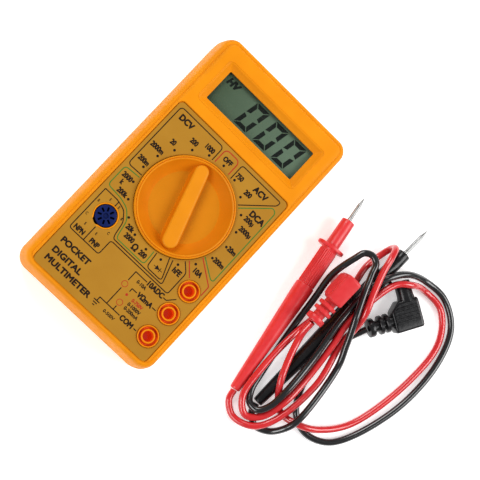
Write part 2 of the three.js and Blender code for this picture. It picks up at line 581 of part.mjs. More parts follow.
// ---- the whole ----
add('rear_case', rearCase(), YELLOW);
add('front_case', frontCase(), YELLOW);
add('faceplate_label', faceplate(), OCHRE);
const glassTop = CASE.plate - GAP;
add('display_window', block(
  -WINDOW.halfWidth - 1.8, WINDOW.halfWidth + 1.8, WINDOW.yLow - 2, WINDOW.yHigh + 2,
  glassTop - WINDOW.thickness, glassTop,
), CLEAR);
add('lcd_panel', block(-LCD.halfWidth, LCD.halfWidth, LCD.yLow, LCD.yHigh, LCD.bottom, LCD.top), LCD_GREEN);
add('lcd_holder', lcdHolder(), WHITE);
add('zebra_strip', block(-22, 22, 29.3, 31.1, BOARD.top + GAP, LCD.bottom - GAP), GREY);
addSelector();
addInside();
addLeads();

export default group;
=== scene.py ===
"""Looks of a pocket digital multimeter and its two test leads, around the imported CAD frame.

Lengths below are in millimetres unless a name says otherwise, and MM turns them into metres.
The meter lies on its back, +X to the right of its face, +Y towards the display, +Z up.
"""

import math

import bmesh
import bpy
from mathutils import Matrix, Vector


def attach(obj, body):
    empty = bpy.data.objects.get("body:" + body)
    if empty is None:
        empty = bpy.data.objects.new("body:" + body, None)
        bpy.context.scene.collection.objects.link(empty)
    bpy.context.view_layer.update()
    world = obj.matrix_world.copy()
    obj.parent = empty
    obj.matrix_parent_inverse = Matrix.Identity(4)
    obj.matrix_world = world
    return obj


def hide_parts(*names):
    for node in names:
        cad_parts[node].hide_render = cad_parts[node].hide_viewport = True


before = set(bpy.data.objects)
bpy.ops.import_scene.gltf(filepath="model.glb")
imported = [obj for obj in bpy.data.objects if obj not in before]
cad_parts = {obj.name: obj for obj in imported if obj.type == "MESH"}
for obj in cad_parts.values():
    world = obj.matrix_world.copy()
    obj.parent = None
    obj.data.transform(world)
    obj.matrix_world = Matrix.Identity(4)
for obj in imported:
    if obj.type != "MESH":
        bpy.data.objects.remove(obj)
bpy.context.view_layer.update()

MM = 0.001

# ---- driving dimensions of the case and face ----
CASE_HALF = (35.0, 63.0)
CASE_CORNER = 6.5
SEAM = (12.0, 12.3)
TRAY = (-30.5, 30.5, -59.8, 27.4)
LABEL = (-30.2, 30.2, -59.5, 27.1)
LABEL_BOTTOM = 24.7
LABEL_TOP = 25.05
WINDOW = (-23.8, 23.8, 35.4, 50.3)
HOOD = (-26.4, 26.4, 32.9, 52.9)
KNOB = (0.0, -3.2)
KNOB_RADIUS = 20.8
KNOB_HOLE = 21.2
CASE_HOLE_INSET = 0.22
LABEL_HOLE_INSET = 0.16
KNOB_FLOOR = 22.57
KNOB_FLOOR_RADIUS = 14.6
KNOB_WALL_RADIUS = 19.0
KNOB_WALL_TOP = 26.0
KNOB_INSIDE_TOP = 22.0
KNOB_REST = math.radians(18)
STOPS = 20
STOP_RADIUS = 23.1
JACK_X = 24.2
JACK_RIM = 25.0
JACKS = (("10adc", -26.6), ("vohmma", -38.7), ("com", -50.8))
SOCKET = (-20.6, -27.7)
SOCKET_RADIUS = 4.5
SOCKET_SLOTS = 8
SOCKET_KEY = math.radians(-113)
CASE_SCREWS = ((-29.2, 57.6), (29.2, 57.6), (-29.2, -57.2))
REAR_PANEL = (-24, 24, -46, 40)
LCD_BOX = (-26, 26, 29, 52.5)
LCD_TOP = 21.4
DIGITS_LEFT = (-8.2, 2.6, 13.0)

# ---- test leads ----
CABLE_RADIUS = 1.5
CABLE_POINTS = 700
CABLE_LENGTHS_M = (0.494, 0.475)
PLUG_LEAN = math.radians(8)
# The middle of each cable from the probe's rear to the plug's tail, as in the CAD model.
RED_ROUTE = [
    (69.4, -40.2, 2.5), (70.6, -44.6, 2.3), (76.5, -48.5, 2.3), (84.8, -46.3, 4.8), (90.4, -38, 5),
    (93.8, -15, 5), (89.8, 6, 5.5), (89.5, 13, 8.2), (87.4, 19.8, 12.9), (83.6, 29, 14.4),
    (80.9, 38, 14), (79.8, 44.6, 13.2), (79.3, 49.6, 10), (79, 50, 5.6), (78.1, 45.6, 2.2),
    (76.7, 37, 1.8), (78.2, 24, 1.8), (74.6, 6, 2), (72, -8, 5), (71.4, -26, 5.7),
    (73.4, -40.2, 5.5), (79.4, -44.9, 5.1), (85.2, -40.6, 5.4), (88, -30, 7.2), (88.8, -17, 5.8),
    (87, 2, 7.7), (85.3, 13, 9.5), (89.4, 38, 10.1), (95, 43.4, 9.4), (103, 47.4, 2.6),
    (114, 46.6, 1.8), (123, 35.6, 1.8), (124.2, 14, 1.8), (117.5, -16, 1.8), (108, -27.8, 4),
    (100, -32.4, 5.2), (91, -33.6, 1.8), (80.8, -25.4, 8.3), (73.6, -5.6, 9.8), (72.6, 1.3, 13),
]
BLACK_ROUTE = [
    (80.4, -37.9, 2.4), (81.3, -41.6, 1.8), (86, -45, 2), (92.4, -42.8, 2.4), (96.1, -37.2, 6.2),
    (97.2, -31.4, 8.4), (95.4, -4, 6.6), (91.2, 5, 9.2), (85.4, 15.5, 13.4), (81, 25.5, 13.9),
    (78.2, 34, 12.6), (76.8, 38.4, 12), (73.5, 40.1, 11.6), (70.2, 38.6, 11.1), (68.7, 34.4, 10.5),
    (66.6, 23, 8), (68.4, 11, 4.8), (70.2, -2, 2), (73.4, -27, 2), (74.9, -35.6, 3.1),
    (77.5, -39.9, 4.8), (81.6, -40.1, 6.5), (84.2, -35.6, 7.9), (84.9, -27, 9.3), (84.4, -8, 8.6),
    (81.9, 12, 10.6), (82.8, 31, 10.5), (86, 39.6, 11), (91.5, 46.2, 8.4), (101, 50.8, 2.8),
    (112, 51.2, 1.9), (123, 44, 1.8), (128.8, 28, 1.8), (127.8, 0, 1.8), (116, -28, 1.8),
    (104.5, -32.8, 1.8), (95.2, -28.4, 1.8), (89, -13, 1.8), (90.6, 6.4, 1.9), (94.35, 17.1, 4.2),
]

# ---- camera ----
CAMERA_AT = (-58.8, -103.4, 584.2)
CAMERA_AIM = (29.0, 7.53, 0.0)
CAMERA_UP = (-0.6891, 0.7238, 0.0338)
LENS = 107.3
SENSOR_WIDTH = 36


def place_camera():
    """Sets the camera above the meter, rolled so that the meter leans to the right."""
    camera = bpy.data.objects.new("camera", bpy.data.cameras.new("camera"))
    bpy.context.scene.collection.objects.link(camera)
    camera.data.lens = LENS
    camera.data.sensor_width = SENSOR_WIDTH
    camera.data.clip_start = 0.01
    back = (Vector(CAMERA_AT) - Vector(CAMERA_AIM)).normalized()
    right = Vector(CAMERA_UP).cross(back).normalized()
    turn = Matrix((right, back.cross(right), back)).transposed().to_4x4()
    camera.matrix_world = Matrix.Translation(Vector(CAMERA_AT) * MM) @ turn
    bpy.context.scene.camera = camera


place_camera()


# ---- mesh building ----
def make_object(name, verts, faces, material, matrix=None, sharp_deg=35):
    """A mesh object from points in millimetres, its faces turned outwards and smooth up to an angle."""
    matrix = matrix or Matrix.Identity(4)
    mesh = bpy.data.meshes.new(name)
    mesh.from_pydata([(matrix @ Vector(v)) * MM for v in verts], [], faces)
    shape = bmesh.new()
    shape.from_mesh(mesh)
    bmesh.ops.recalc_face_normals(shape, faces=shape.faces)
    shape.to_mesh(mesh)
    shape.free()
    obj = bpy.data.objects.new(name, mesh)
    bpy.context.scene.collection.objects.link(obj)
    mesh.materials.append(material)
    smooth(obj, sharp_deg)
    return obj


def smooth(obj, sharp_deg):
    """Smooth shading, except across edges sharper than the angle."""
    obj.data.polygons.foreach_set("use_smooth", [True] * len(obj.data.polygons))
    obj.data.set_sharp_from_angle(angle=math.radians(sharp_deg))


def skin(name, rings, material, matrix=None, sharp_deg=35, closed=False):
    """A closed solid through rings of equally many points, capped at both ends or closed on itself."""
    count = len(rings[0])
    verts = [point for ring in rings for point in ring]
    faces = []
    pairs = list(zip(range(len(rings)), range(1, len(rings))))
    if closed:
        pairs.append((len(rings) - 1, 0))
    for low, high in pairs:
        for i in range(count):
            j = (i + 1) % count
            faces.append((low * count + i, low * count + j, high * count + j, high * count + i))
    if not closed:
        faces.append(tuple(reversed(range(count))))
        faces.append(tuple(range((len(rings) - 1) * count, len(rings) * count)))
    return make_object(name, verts, faces, material, matrix, sharp_deg)


def circle(radius, z, sides, centre=(0, 0)):
    """The points of a horizontal circle."""
    angles = [2 * math.pi * i / sides for i in range(sides)]
    return [(centre[0] + radius * math.cos(a), centre[1] + radius * math.sin(a), z) for a in angles]


def turned(name, profile, material, centre=(0, 0), sides=64, matrix=None, closed=False):
    """A turned solid about the local Z axis. The profile lists (radius, z) from one end to the other."""
    rings = [circle(max(radius, 0.004), z, sides, centre) for radius, z in profile]
    return skin(name, rings, material, matrix, closed=closed)


def rect_ring(box, radius, z, steps=8):
    """A rectangle with rounded corners, anticlockwise. The box is low x, high x, low y, high y."""
    x_low, x_high, y_low, y_high = box
    corners = (
        (x_high - radius, y_high - radius, 0), (x_low + radius, y_high - radius, 90),
        (x_low + radius, y_low + radius, 180), (x_high - radius, y_low + radius, 270),
    )
    points = []
    for x, y, start in corners:
        for i in range(steps + 1):
            angle = math.radians(start + 90 * i / steps)
            points.append((x + radius * math.cos(angle), y + radius * math.sin(angle), z))
    return points


def grown(box, by):
    """The box, larger by the same amount on every side."""
    return (box[0] - by, box[1] + by, box[2] - by, box[3] + by)


def combine(obj, operation, *tools):
    """Applies one boolean after another to obj and removes the tools."""
    for tool in tools:
        step = obj.modifiers.new("boolean", "BOOLEAN")
        step.operation = operation
        step.solver = "EXACT"
        step.object = tool
    bpy.context.view_layer.update()
    result = bpy.data.meshes.new_from_object(obj.evaluated_get(bpy.context.evaluated_depsgraph_get()))
    obj.modifiers.clear()
    obj.data = result
    for tool in tools:
        bpy.data.objects.remove(tool)
    return obj


def joined(name, pieces):
    """One object out of several meshes that don't touch."""
    shape = bmesh.new()
    for piece in pieces:
        shape.from_mesh(piece.data)
    mesh = bpy.data.meshes.new(name)
    shape.to_mesh(mesh)
    shape.free()
    for material in pieces[0].data.materials:
        mesh.materials.append(material)
    for piece in pieces:
        bpy.data.objects.remove(piece)
    obj = bpy.data.objects.new(name, mesh)
    bpy.context.scene.collection.objects.link(obj)
    return obj


# ---- materials ----
GRAIN_SCALE = 600.0


def noise_node(tree, coords, scale, detail=3.0):
    """Noise in the object's own space."""
    node = tree.nodes.new("ShaderNodeTexNoise")
    node.inputs["Scale"].default_value = scale
    node.inputs["Detail"].default_value = detail
    tree.links.new(coords.outputs["Object"], node.inputs["Vector"])
    return node


def spread(tree, source, low, high):
    """Maps a noise value, which stays near one half, to a range."""
    node = tree.nodes.new("ShaderNodeMapRange")
    node.inputs["From Min"].default_value = 0.3
    node.inputs["From Max"].default_value = 0.7
    node.inputs["To Min"].default_value = low
    node.inputs["To Max"].default_value = high
    tree.links.new(source.outputs["Fac"], node.inputs["Value"])
    return node


def make_material(name, dark, light, roughness, metallic=0.0, patch=90.0, bump=0.03,
                  specular=0.4, rough_spread=0.06, coat=0.0):
    """A surface whose colour drifts between two tones, with fine grain in its roughness and height."""
    material = bpy.data.materials.new(name)
    material.use_nodes = True
    tree = material.node_tree
    shader = tree.nodes["Principled BSDF"]
    coords = tree.nodes.new("ShaderNodeTexCoord")
    patches = noise_node(tree, coords, patch)
    share = spread(tree, patches, 0.0, 1.0)
    mix = tree.nodes.new("ShaderNodeMix")
    mix.data_type = "RGBA"
    mix.inputs["A"].default_value = (*dark, 1)
    mix.inputs["B"].default_value = (*light, 1)
    tree.links.new(share.outputs["Result"], mix.inputs["Factor"])
    tree.links.new(mix.outputs["Result"], shader.inputs["Base Color"])
    grains = noise_node(tree, coords, GRAIN_SCALE, 2.0)
    rough = spread(tree, grains, roughness - rough_spread, roughness + rough_spread)
    tree.links.new(rough.outputs["Result"], shader.inputs["Roughness"])
    height = tree.nodes.new("ShaderNodeBump")
    height.inputs["Strength"].default_value = bump
    height.inputs["Distance"].default_value = 0.0002
    tree.links.new(grains.outputs["Fac"], height.inputs["Height"])
    tree.links.new(height.outputs["Normal"], shader.inputs["Normal"])
    shader.inputs["Metallic"].default_value = metallic
    shader.inputs["Specular IOR Level"].default_value = specular
    shader.inputs["Coat Weight"].default_value = coat
    shader.inputs["Coat Roughness"].default_value = 0.15
    return material


def glow(material, colour, strength):
    """Adds a faint light of the material's own."""
    shader = material.node_tree.nodes["Principled BSDF"]
    shader.inputs["Emission Color"].default_value = (*colour, 1)
    shader.inputs["Emission Strength"].default_value = strength


def clear_material(name, tint, ior):
    """Thin clear plastic: mostly see-through, with a surface gloss."""
    material = bpy.data.materials.new(name)
    material.use_nodes = True
    tree = material.node_tree
    tree.nodes.remove(tree.nodes["Principled BSDF"])
    through = tree.nodes.new("ShaderNodeBsdfTransparent")
    through.inputs["Color"].default_value = (*tint, 1)
    gloss = tree.nodes.new("ShaderNodeBsdfGlossy")
    gloss.inputs["Roughness"].default_value = 0.08
    fresnel = tree.nodes.new("ShaderNodeFresnel")
    fresnel.inputs["IOR"].default_value = ior
    mix = tree.nodes.new("ShaderNodeMixShader")
    tree.links.new(fresnel.outputs["Fac"], mix.inputs["Fac"])
    tree.links.new(through.outputs["BSDF"], mix.inputs[1])
    tree.links.new(gloss.outputs["BSDF"], mix.inputs[2])
    tree.links.new(mix.outputs["Shader"], tree.nodes["Material Output"].inputs["Surface"])
    return material


def display_material(name, left, right):
    """The display's reflector with painted light: paler towards the right, the side the light comes from, and
    a faint mottle.
    """
    material = make_material(name, left, right, 0.35, patch=28, bump=0.01, specular=0.1)
    tree = material.node_tree
    coords = next(node for node in tree.nodes if node.bl_idname == "ShaderNodeTexCoord")
    mix = next(node for node in tree.nodes if node.bl_idname == "ShaderNodeMix")
    noise = next(node for node in tree.nodes if node.bl_idname == "ShaderNodeTexNoise")
    split = tree.nodes.new("ShaderNodeSeparateXYZ")
    tree.links.new(coords.outputs["Object"], split.inputs["Vector"])
    # Painted light: the colour runs from the darker tone at the window's left to the paler one at its right.
    painted_light_across = tree.nodes.new("ShaderNodeMapRange")
    painted_light_across.inputs["From Min"].default_value = WINDOW[0] * MM
    painted_light_across.inputs["From Max"].default_value = WINDOW[1] * MM
    painted_light_across.inputs["To Min"].default_value = -0.45
    painted_light_across.inputs["To Max"].default_value = 0.45
    painted_light_across.clamp = False
    tree.links.new(split.outputs["X"], painted_light_across.inputs["Value"])
    total = tree.nodes.new("ShaderNodeMath")
    total.operation = "ADD"
    total.use_clamp = True
    tree.links.new(painted_light_across.outputs["Result"], total.inputs[0])
    tree.links.new(noise.outputs["Fac"], total.inputs[1])
    tree.links.new(total.outputs["Value"], mix.inputs["Factor"])
    return material


YELLOW = make_material("case_yellow", (0.75, 0.24, 0.003), (0.81, 0.27, 0.004), 0.5, specular=0.08)
KNOB_YELLOW = make_material("knob_yellow", (0.69, 0.225, 0.003), (0.75, 0.25, 0.004), 0.46, specular=0.15)
# Painted shade: a darker, deeper orange for the dish wall and the bar's lower sides, not the knob's own
# colour.
KNOB_WALL_SHADE = make_material("knob_wall_painted_shade", (0.60, 0.16, 0.002), (0.66, 0.185, 0.003), 0.55, specular=0.04)
# Painted shade: the dish floor darker than the knob's own yellow.
KNOB_FLOOR_SHADE = make_material("knob_floor_painted_shade", (0.54, 0.18, 0.004), (0.60, 0.20, 0.006), 0.6, specular=0.06)
# Painted shade: a deeper orange-red for the jack grooves, for the light bouncing in them, not the case's own
# colour.
JACK_GROOVE_SHADE = make_material("jack_groove_painted_shade", (0.72, 0.085, 0.003), (0.78, 0.11, 0.004), 0.5,
                            specular=0.2)
# Painted light: a red lining that glows faintly, standing in for the orange light inside each jack's well;
# the tube itself is brass.
JACK_LINING_GLOW = make_material("jack_lining_painted_glow", (0.62, 0.05, 0.003), (0.70, 0.07, 0.004), 0.25, specular=0.6)
glow(JACK_LINING_GLOW, (1, 0.06, 0.006), 0.18)
OCHRE = make_material("label_ochre", (0.365, 0.165, 0.012), (0.41, 0.195, 0.016), 0.5, patch=60,
                      specular=0.15)
PRINT_DARK = make_material("print_dark", (0.012, 0.006, 0.004), (0.02, 0.01, 0.006), 0.6, patch=400,
                           specular=0.1)
PRINT_RED = make_material("print_red", (0.36, 0.02, 0.01), (0.42, 0.03, 0.015), 0.6, patch=400,
                          specular=0.1)
PRINT_GREEN = make_material("print_green", (0.05, 0.15, 0.02), (0.07, 0.18, 0.03), 0.6, patch=400,
                            specular=0.1)
LCD = display_material("lcd_green", (0.060, 0.088, 0.054), (0.115, 0.165, 0.115))
SEGMENT = make_material("lcd_segment", (0.006, 0.008, 0.007), (0.01, 0.013, 0.011), 0.5, patch=300,
                        bump=0.01, specular=0.1)
PANE = clear_material("window_clear", (0.97, 0.98, 0.97), 1.07)
SOCKET_BLUE = make_material("socket_blue", (0.003, 0.010, 0.075), (0.006, 0.016, 0.105), 0.45, specular=0.12)
SOCKET_DARK = make_material("socket_contact", (0.003, 0.003, 0.008), (0.008, 0.008, 0.015), 0.5)
RED = make_material("lead_red", (0.60, 0.022, 0.026), (0.68, 0.032, 0.036), 0.34, patch=150,
                    specular=0.45)
BLACK = make_material("lead_black", (0.005, 0.005, 0.006), (0.009, 0.009, 0.01), 0.25, patch=150,
                      specular=0.35)
RED_CABLE = make_material("cable_red", (0.56, 0.010, 0.014), (0.62, 0.016, 0.02), 0.22, patch=150,
                          specular=0.5, bump=0.004, rough_spread=0.03, coat=0.6)
BLACK_CABLE = make_material("cable_black", (0.004, 0.004, 0.005), (0.007, 0.007, 0.008), 0.2, patch=150,
                            specular=0.5, bump=0.004, rough_spread=0.03, coat=0.6)
STEEL = make_material("plated_steel", (0.24, 0.24, 0.24), (0.32, 0.32, 0.31), 0.34, bump=0.005,
                      metallic=1.0, patch=500)
BRASS = make_material("brass", (0.68, 0.46, 0.16), (0.78, 0.56, 0.22), 0.25, metallic=1.0, patch=400)
COPPER = make_material("shunt_copper", (0.62, 0.28, 0.12), (0.7, 0.34, 0.16), 0.3, metallic=1.0, patch=400)
BOARD_TAN = make_material("board_tan", (0.30, 0.16, 0.06), (0.36, 0.2, 0.08), 0.6, patch=200)
WHITE = make_material("white_plastic", (0.72, 0.7, 0.66), (0.8, 0.78, 0.74), 0.5)
GREY = make_material("grey_plastic", (0.13, 0.13, 0.14), (0.18, 0.18, 0.19), 0.5)
TAN = make_material("resistor_tan", (0.5, 0.32, 0.16), (0.56, 0.37, 0.2), 0.4, patch=300)
FLOOR = make_material("floor_pale", (0.9, 0.9, 0.9), (0.92, 0.92, 0.92), 0.8, patch=5, bump=0.0, specular=0.0)
glow(FLOOR, (1, 1, 1), 0.45)


# ---- case ----
def case_ring(inset, z):
    """The case's outline at one height, drawn in by inset."""
    x, y = CASE_HALF
    return rect_ring((-x + inset, x - inset, -y + inset, y - inset), max(CASE_CORNER - inset, 1.5), z, 12)


def rod_tool(radius, z_low, z_high, centre, sides=64):
    """An upright cylinder that cuts a hole."""
    return turned("tool", [(radius, z_low), (radius, z_high)], YELLOW, centre, sides)


def build_front_case():
    """The front shell: shoulder, crease and rim, with the label's tray and the sloped display recess."""
    profile = [
        (0.5, SEAM[1]), (0.12, SEAM[1] + 0.1), (0, SEAM[1] + 0.45), (0.2, 15), (0.6, 19), (0.95, 21.4),
        (1.15, 22.4), (1.4, 23.2), (1.75, 23.85), (2.15, 24.25), (2.6, 24.45), (3.0, 24.48), (3.2, 24.4),
        (3.34, 24.46), (3.5, 24.75), (3.7, 25.1), (4.0, 25.38), (4.4, 25.54), (5.5, 25.6),
    ]
    case = skin("front_case_shell", [case_ring(*step) for step in profile], YELLOW)
    bead_steps = ((0.95, 25.5), (0.8, 25.7), (0.6, 25.78), (0.42, 25.72), (0.3, 25.5), (0.6, 25.2))
    bead_rings = [rect_ring(grown(HOOD, by), 1.6 + by, z) for by, z in bead_steps]
    combine(case, "UNION", skin("bead", bead_rings, YELLOW, closed=True))
    hollow = skin("tool", [case_ring(2, 10), case_ring(2.2, 22.9)], YELLOW)
    tray = skin("tool", [
        rect_ring(TRAY, 2, 24.5), rect_ring(TRAY, 2, 25.2), rect_ring(grown(TRAY, 0.12), 2.1, 25.45),
        rect_ring(grown(TRAY, 0.4), 2.3, 25.63), rect_ring(grown(TRAY, 0.4), 2.3, 27),
    ], YELLOW)
    window = skin("tool", [
        rect_ring(WINDOW, 0.5, 19), rect_ring(WINDOW, 0.5, 23.4), rect_ring(grown(WINDOW, 0.2), 0.6, 23.6),
        rect_ring(grown(HOOD, -0.75), 1.0, 24.75), rect_ring(grown(HOOD, -0.35), 1.1, 25.2),
        rect_ring(grown(HOOD, -0.05), 1.3, 25.48), rect_ring(grown(HOOD, 0.4), 1.6, 25.63),
        rect_ring(grown(HOOD, 0.4), 1.6, 27),
    ], YELLOW)
    tools = [hollow, tray, window]
    tools.append(rod_tool(KNOB_HOLE - CASE_HOLE_INSET, 15, 27, KNOB, 128))
    tools.append(rod_tool(5.4, 15, 27, SOCKET))
    tools += [rod_tool(4.5, 15, 27, (JACK_X, y)) for _, y in JACKS]
    combine(case, "DIFFERENCE", *tools)
    smooth(case, 28)
    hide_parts("front_case")
    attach(case, "meter")


def build_rear_case():
    """The rear shell, with a shallow panel underneath and a boss and countersink for each screw."""
    profile = [
        (3.0, 0), (2.2, 0.08), (1.4, 0.4), (0.75, 1.0), (0.35, 1.75), (0.2, 2.7), (0.05, 8),
        (0, SEAM[0] - 0.45), (0.12, SEAM[0] - 0.1), (0.5, SEAM[0]),
    ]
    case = skin("rear_case_shell", [case_ring(*step) for step in profile], YELLOW)
    hollow = skin("tool", [case_ring(2.4, 2), case_ring(2, 14)], YELLOW)
    combine(case, "DIFFERENCE", hollow)
    bosses = [turned("boss", [(3.1, 1), (3.1, SEAM[0] - 0.1)], YELLOW, place, 32) for place in CASE_SCREWS]
    combine(case, "UNION", *bosses)
    panel = skin("tool", [
        rect_ring(grown(REAR_PANEL, 0.4), 3.4, -1), rect_ring(grown(REAR_PANEL, 0.4), 3.4, 0.01),
        rect_ring(REAR_PANEL, 3, 0.35),
    ], YELLOW)
    tools = [panel]
    for place in CASE_SCREWS:
        tools.append(turned("tool", [(3.0, -1), (2.9, 0.05), (2.6, 0.35), (2.6, 3.2)], YELLOW, place, 32))
        tools.append(rod_tool(1.5, -1, 14, place, 24))
    combine(case, "DIFFERENCE", *tools)
    smooth(case, 28)
    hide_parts("rear_case")
    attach(case, "meter")


def build_jacks():
    """Each jack: a raised collar and a ring inside it, with painted orange-red shade on the groove between,
    and a red lining with a painted glow.
    """
    collar_profile = [
        (4.48, 20), (4.48, 25.35), (4.4, 25.58), (4.22, 25.68), (4.04, 25.6), (3.95, 25.35), (3.88, 24.3),
        (3.72, 24.0), (3.1, 24.0), (2.98, 24.3), (2.92, 25.1), (2.8, 25.38), (2.55, 25.5), (2.32, 25.4),
        (2.2, 25.1), (2.12, 24.6), (2.12, 23.75), (2.7, 23.7), (2.7, 14.2), (4.48, 14.2),
    ]
    tube_profile = [
        (2.45, 9), (2.45, 23.4), (2.35, 23.6), (2.08, 23.6), (2.0, 23.45), (2.0, 20.2), (1.93, 20.05),
        (1.93, 18.4), (2.0, 18.25), (2.0, 12.5), (0, 12.3), (0, 9),
    ]
    for name, y in JACKS:
        collar = turned(f"jack_collar_{name}", collar_profile, YELLOW, (JACK_X, y), 64, closed=True)
        collar.data.materials.append(JACK_GROOVE_SHADE)
        # Painted shade: every face below the rim's height takes the groove's orange-red.
        for face in collar.data.polygons:
            if face.center.z < JACK_RIM * MM:
                face.material_index = 1
        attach(collar, "meter")
        tube = turned(f"jack_socket_{name}", tube_profile, JACK_LINING_GLOW, (JACK_X, y), 48)
        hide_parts(f"jack_tube_{name}")
        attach(tube, "meter")


PLATE_BEVEL = 0.05


def outline_curve(name, outlines, z_low, z_high, material):
    """A flat plate with holes: closed outlines filled and thickened."""
    curve = bpy.data.curves.new(name, "CURVE")
    curve.dimensions = "2D"
    curve.fill_mode = "BOTH"
    curve.extrude = ((z_high - z_low) / 2 - PLATE_BEVEL) * MM
    curve.bevel_depth = PLATE_BEVEL * MM
    curve.offset = -PLATE_BEVEL * MM
    for outline in outlines:
        spline = curve.splines.new("POLY")
        spline.points.add(len(outline) - 1)
        for point, (x, y, *_) in zip(spline.points, outline):
            point.co = (x * MM, y * MM, 0, 1)
        spline.use_cyclic_u = True
    return mesh_of(name, curve, material, Vector((0, 0, (z_low + z_high) / 2)))


def mesh_of(name, data, material, place, stretch=1.0):
    """The mesh of a curve or text, stretched along X and moved to a place in millimetres."""
    source = bpy.data.objects.new("source", data)
    bpy.context.scene.collection.objects.link(source)
    bpy.context.view_layer.update()
    mesh = bpy.data.meshes.new_from_object(source.evaluated_get(bpy.context.evaluated_depsgraph_get()))
    bpy.data.objects.remove(source)
    squeeze = Matrix.Diagonal((stretch, 1, 1, 1))
    mesh.transform(Matrix.Translation(place * MM) @ squeeze)
    mesh.materials.clear()
    mesh.materials.append(material)
    obj = bpy.data.objects.new(name, mesh)
    bpy.context.scene.collection.objects.link(obj)
    return obj


def build_label():
    """The face label, with holes for the knob, the transistor socket and the jacks."""
    holes = [circle(KNOB_HOLE - LABEL_HOLE_INSET, 0, 128, KNOB), circle(5.35, 0, 48, SOCKET)]
    holes += [circle(4.7, 0, 48, (JACK_X, y)) for _, y in JACKS]
    label = outline_curve("face_label", [rect_ring(LABEL, 2, 0), *holes], LABEL_BOTTOM, LABEL_TOP, OCHRE)
    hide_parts("faceplate_label")
    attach(label, "meter")


# ---- print on the label ----
PRINT_Z = LABEL_TOP + 0.012
PRINT_THICK = 0.012
# The height of a capital as a share of the font's size.
CAP_SHARE = 0.73
WEIGHT_COPIES = 6


def rounded_path(points, radius):
    """The points of an open line with each corner rounded."""
    path = [Vector(points[0])]
    for before, corner, after in zip(points, points[1:], points[2:]):
        corner = Vector(corner)
        back, ahead = Vector(before) - corner, Vector(after) - corner
        cut = min(radius, back.length * 0.48, ahead.length * 0.48)
        start, end = corner + back.normalized() * cut, corner + ahead.normalized() * cut
        for i in range(7):
            t = i / 6
            path.append(start * (1 - t) ** 2 + corner * 2 * t * (1 - t) + end * t ** 2)
    path.append(Vector(points[-1]))
    return path


def ribbon(points, width, material, radius=1.8):
    """A printed line along a path, as a very thin strip."""
    path = rounded_path(points, radius)
    low, high = PRINT_Z - PRINT_THICK, PRINT_Z + PRINT_THICK
    left, right = [], []
    for i, point in enumerate(path):
        ahead = path[min(i + 1, len(path) - 1)] - path[max(i - 1, 0)]
        side = Vector((-ahead.y, ahead.x)).normalized() * width / 2
        left.append(point + side)
        right.append(point - side)
    rings = [[(*a, low), (*b, low), (*b, high), (*a, high)] for a, b in zip(left, right)]
    return skin("line", rings, material)


def words(text, x, y, cap, material, squeeze, weight, z=PRINT_Z, slant=0.0, right_end=None):
    """Printed words centred on a point, or from x as far as right_end. Weight thickens the strokes."""
    data = bpy.data.curves.new("words", "FONT")
    data.body = text
    data.size = cap * MM / CAP_SHARE
    data.align_x = "CENTER"
    data.align_y = "CENTER"
    data.extrude = PRINT_THICK * MM
    data.shear = slant
    data.resolution_u = 3
    obj = mesh_of("words", data, material, Vector((0, 0, 0)), squeeze)
    if right_end is not None:
        width = max(v.co.x for v in obj.data.vertices) - min(v.co.x for v in obj.data.vertices)
        obj.data.transform(Matrix.Diagonal(((right_end - x) * MM / width, 1, 1, 1)))
        x = (x + right_end) / 2
    copies = [obj]
    for i in range(WEIGHT_COPIES):
        angle = 2 * math.pi * i / WEIGHT_COPIES + 0.3
        extra = bpy.data.objects.new("words", obj.data.copy())
        shift = Vector((weight * math.cos(angle), weight * math.sin(angle), 0.003 * (i + 1)))
        extra.data.transform(Matrix.Translation(shift * MM))
        copies.append(extra)
    obj = joined("words", copies)
    obj.data.transform(Matrix.Translation(Vector((x, y, z)) * MM))
    return obj


def dot(x, y, radius, material):
    profile = [(radius, PRINT_Z - PRINT_THICK), (radius, PRINT_Z + PRINT_THICK)]
    return turned("dot", profile, material, (x, y), 20)


def hoop(x, y, radius, width, material):
    """A thin printed circle."""
    low, high = PRINT_Z - PRINT_THICK, PRINT_Z + PRINT_THICK
    inner, outer = radius - width / 2, radius + width / 2
    profile = [(inner, low), (outer, low), (outer, high), (inner, high)]
    return turned("hoop", profile, material, (x, y), 28, closed=True)


# Small marks of the ranges round the dial: words, x, y.
RANGE_WORDS = [
    ("1000", -8.8, 20.9), ("200", -15.1, 18.3), ("20", -21.2, 12.3), ("2000m", -24.3, 6.2),
    ("200m", -24.8, -1.2), ("2000", -25.0, -10.6), ("k", -25.3, -13.5), ("200k", -22.3, -16.5),
    ("20k", -10.3, -24.7), ("2000", -7.9, -27.7), ("200", 0.4, -28.8), ("750", 8.0, 21.0),
    ("200", 15.0, 18.4), ("200µ", 22.9, 10.7), ("2000µ", 24.7, 6.3), ("20m", 25.9, -3.0),
    ("200m", 25.3, -10.2),
]
GROUP_WORDS = [("DCV", -22.9, 22.0), ("ACV", 18.7, 22.1), ("DCA", 24.4, 13.8)]
SOCKET_WORDS = [
    ("E", -23.6, -21.8), ("B", -26.8, -25.2), ("C", -26.8, -32.1), ("E", -24.4, -35.5),
    ("E", -19.0, -21.8), ("B", -15.2, -24.4), ("C", -15.1, -32.1), ("E", -18.5, -35.5),
]
